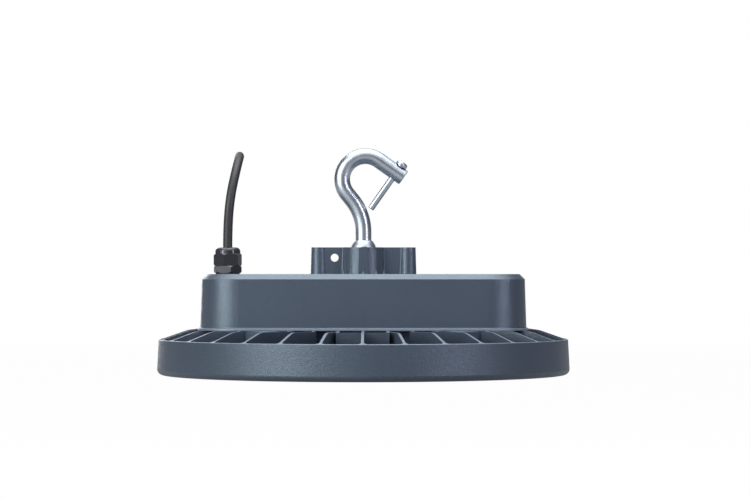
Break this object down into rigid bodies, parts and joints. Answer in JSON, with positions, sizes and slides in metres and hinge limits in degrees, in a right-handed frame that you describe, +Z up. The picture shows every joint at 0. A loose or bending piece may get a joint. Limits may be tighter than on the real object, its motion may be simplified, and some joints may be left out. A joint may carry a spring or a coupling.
{
  "type": "high bay light",
  "caption": "Round LED high bay light: finned die-cast heat sink, driver box with hook boss, open hook with safety screw, cable gland and supply cable.",
  "frame": {"origin": "centre of the rim that the light stands on", "axes": "+Z up along the hook's shank, -Y the front, +X to the right"},
  "size_m": [0.31, 0.3879, 0.1702],
  "materials": {
    "cast_paint": "fine textured blue-grey powder coat on die-cast aluminium",
    "base_sheet": "bare rolled sheet",
    "zinc": "bright zinc plated steel",
    "zinc_screw": "zinc plated steel screws",
    "gland_nylon": "semi-gloss black nylon",
    "seal_rubber": "matt black rubber",
    "cable_rubber": "matt black rubber sheath",
    "core_sheath": "coloured PVC core insulation",
    "tin": "tinned copper end sleeves",
    "driver_case": "plain aluminium case",
    "block_plastic": "white nylon",
    "pad_silicone": "grey silicone",
    "board_white": "white solder mask on aluminium",
    "led_phosphor": "yellow phosphor",
    "lens_clear": "clear polycarbonate"
  },
  "bodies": {
    "root": {"heat_sink": "cast_paint", "driver_box": "cast_paint", "base_plate": "base_sheet", "base_gasket": "seal_rubber", "cover_screws": "zinc_screw", "hook": "zinc", "hook_nut": "zinc", "safety_screw": "zinc", "gland_washer": "seal_rubber", "gland_body": "gland_nylon", "gland_seal": "seal_rubber", "gland_cap": "gland_nylon", "gland_locknut": "gland_nylon", "supply_cable": "cable_rubber", "supply_cores": "core_sheath", "core_ferrules": "tin", "cable_tail": "cable_rubber", "mains_cores": "core_sheath", "led_driver": "driver_case", "driver_screws": "zinc_screw", "terminal_block": "block_plastic", "driver_leads": "core_sheath", "led_leads": "core_sheath", "lead_grommet": "seal_rubber", "thermal_pad": "pad_silicone", "led_board": "board_white", "leds": "led_phosphor", "board_screws": "zinc_screw", "lens_plate": "lens_clear", "lens_gasket": "seal_rubber", "lens_screws": "zinc_screw"}
  },
  "joints": []
}
